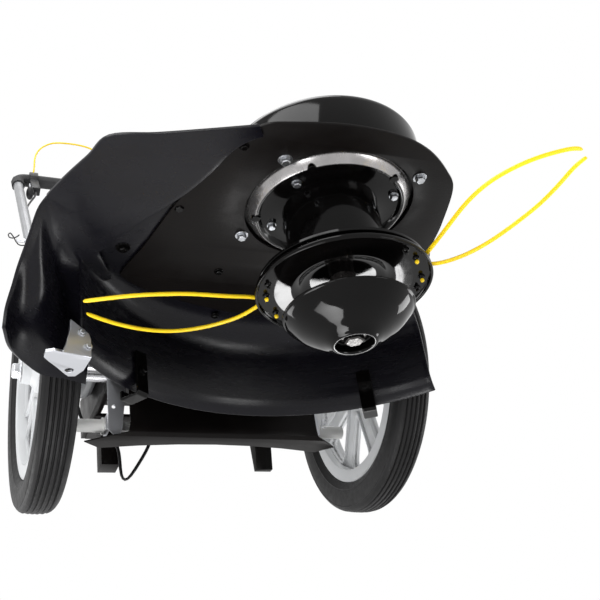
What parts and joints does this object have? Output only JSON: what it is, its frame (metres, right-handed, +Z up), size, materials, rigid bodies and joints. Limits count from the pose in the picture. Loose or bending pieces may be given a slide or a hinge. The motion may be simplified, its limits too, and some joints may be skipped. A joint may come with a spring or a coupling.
{
  "type": "wheeled string mower",
  "caption": "Walk-behind petrol string mower: spinning cutting head over a ground bowl, curved debris shield, rear engine, spoked wheels and folding loop handle.",
  "frame": {"origin": "on the ground under the middle of the overall bounding box", "axes": "+X towards the machine's left, +Y from the cutting head at the front to the handle at the rear, +Z up"},
  "size_m": [0.5686, 1.3246, 1.1626],
  "materials": {
    "polished_black": "high gloss black enamel",
    "satin_black_plate": "satin powder coat",
    "machined_steel": "machined",
    "shield_plastic": "semi-matte moulded sheet",
    "zinc": "bright zinc plate",
    "belt_rubber": "matt",
    "white_plastic": "moulded",
    "engine_casting": "die cast",
    "black_plastic": "fine moulded grain",
    "heat_black": "matt heat-proof paint",
    "ceramic": "glazed",
    "silver_tube": "silver-grey powder coat",
    "rim_plastic": "light grey moulded",
    "tyre_rubber": "matt",
    "foam_grip": "closed foam",
    "yellow_nylon": "extruded",
    "red_rubber": "soft"
  },
  "bodies": {
    "chassis": {"spindle_disc": "polished_black", "spindle_tube": "satin_black_plate", "upper_bearing": "machined_steel", "lower_bearing": "machined_steel", "deck_plate": "satin_black_plate", "debris_shield": "shield_plastic", "side_deflector": "shield_plastic", "deflector_bracket": "zinc", "shield_clip_right": "satin_black_plate", "shield_clip_left": "satin_black_plate", "belt_cover": "polished_black", "drive_belt": "belt_rubber", "chassis_frame": "satin_black_plate", "axle_guard": "satin_black_plate", "guard_rod": "white_plastic", "guard_spring": "zinc", "axle": "machined_steel", "axle_bracket_right": "zinc", "axle_bracket_left": "zinc", "axle_nut_right": "zinc", "axle_nut_left": "zinc", "engine_block": "engine_casting", "blower_housing": "black_plastic", "fuel_tank": "black_plastic", "muffler": "heat_black", "carburettor": "engine_casting", "air_cleaner": "black_plastic", "spark_plug": "ceramic", "starter_grip": "black_plastic", "lower_handle": "silver_tube", "throttle_cable_lower": "black_plastic"},
    "crankshaft": {"crankshaft": "machined_steel", "crank_pulley": "machined_steel"},
    "cutting_head": {"spindle_shaft": "machined_steel", "spindle_pulley": "machined_steel", "head_flange": "polished_black", "line_post_plate": "polished_black", "cutting_line_right": "yellow_nylon", "cutting_line_left": "yellow_nylon"},
    "ground_bowl": {"ground_bowl": "polished_black", "bowl_bolt": "machined_steel"},
    "wheel_right": {"wheel_rim_right": "rim_plastic", "tyre_right": "tyre_rubber"},
    "wheel_left": {"wheel_rim_left": "rim_plastic", "tyre_left": "tyre_rubber"},
    "idler_arm": {"idler_arm": "zinc"},
    "idler_pulley": {"idler_pulley": "black_plastic"},
    "upper_handle": {"upper_handle": "silver_tube", "handle_grip": "foam_grip", "handle_pin_right": "zinc", "handle_pin_left": "zinc", "lever_bracket": "black_plastic", "throttle_control": "black_plastic", "throttle_cable_upper": "black_plastic", "spare_line": "yellow_nylon"},
    "clutch_lever": {"clutch_lever": "black_plastic"},
    "throttle_lever": {"throttle_lever": "zinc"},
    "fuel_cap": {"fuel_cap": "black_plastic"},
    "oil_cap": {"oil_cap": "black_plastic"},
    "primer_bulb": {"primer_bulb": "red_rubber"}
  },
  "joints": [
    {"name": "crank_spin", "type": "hinge", "parent": "chassis", "child": "crankshaft", "pos_m": [0.02217, -0.09815, 0.2], "axis": [0, 0, 1], "continuous": true},
    {"name": "head_spin", "type": "hinge", "parent": "chassis", "child": "cutting_head", "pos_m": [0.02217, -0.45815, 0.2], "axis": [0, 0, 1], "continuous": true},
    {"name": "bowl_spin", "type": "hinge", "parent": "cutting_head", "child": "ground_bowl", "pos_m": [0.02217, -0.45815, 0.0353], "axis": [0, 0, 1], "continuous": true},
    {"name": "wheel_right_spin", "type": "hinge", "parent": "chassis", "child": "wheel_right", "pos_m": [-0.20133, -0.03755, 0.1778], "axis": [1, 0, 0], "continuous": true},
    {"name": "wheel_left_spin", "type": "hinge", "parent": "chassis", "child": "wheel_left", "pos_m": [0.24567, -0.03755, 0.1778], "axis": [1, 0, 0], "continuous": true},
    {"name": "clutch_squeeze", "type": "hinge", "parent": "upper_handle", "child": "clutch_lever", "pos_m": [0.05217, 0.61916, 0.99906], "axis": [0, -0.8236, 0.5672], "range_deg": [0, 15], "stiffness_Nm_per_rad": 3, "springref_deg": -11.46},
    {"name": "idler_swing", "type": "hinge", "parent": "chassis", "child": "idler_arm", "pos_m": [0.11917, -0.23315, 0.2], "axis": [0, 0, -1], "range_deg": [0, 12]},
    {"name": "idler_spin", "type": "hinge", "parent": "idler_arm", "child": "idler_pulley", "pos_m": [0.10917, -0.29315, 0.2], "axis": [0, 0, 1], "continuous": true},
    {"name": "throttle", "type": "hinge", "parent": "upper_handle", "child": "throttle_lever", "pos_m": [-0.12183, 0.61632, 0.99494], "axis": [1, 0, 0], "range_deg": [-20, 25]},
    {"name": "handle_fold", "type": "hinge", "parent": "chassis", "child": "upper_handle", "pos_m": [0.02217, 0.41326, 0.7001], "axis": [1, 0, 0], "range_deg": [0, 140]},
    {"name": "fuel_cap_turn", "type": "hinge", "parent": "chassis", "child": "fuel_cap", "pos_m": [0.07217, 0.06685, 0.3703], "axis": [0, 0, 1], "range_deg": [0, 90]},
    {"name": "oil_cap_turn", "type": "hinge", "parent": "chassis", "child": "oil_cap", "pos_m": [0.14717, -0.03815, 0.3], "axis": [0, 0, 1], "range_deg": [0, 90]},
    {"name": "primer_press", "type": "slide", "parent": "chassis", "child": "primer_bulb", "axis": [1, 0, 0], "range_m": [0, 0.006], "stiffness_N_per_m": 1200}
  ],
  "couplings": [
    {"joint": "head_spin", "follows": "crank_spin", "ratio": 0.7},
    {"joint": "idler_swing", "follows": "clutch_squeeze", "ratio": 0.8}
  ]
}
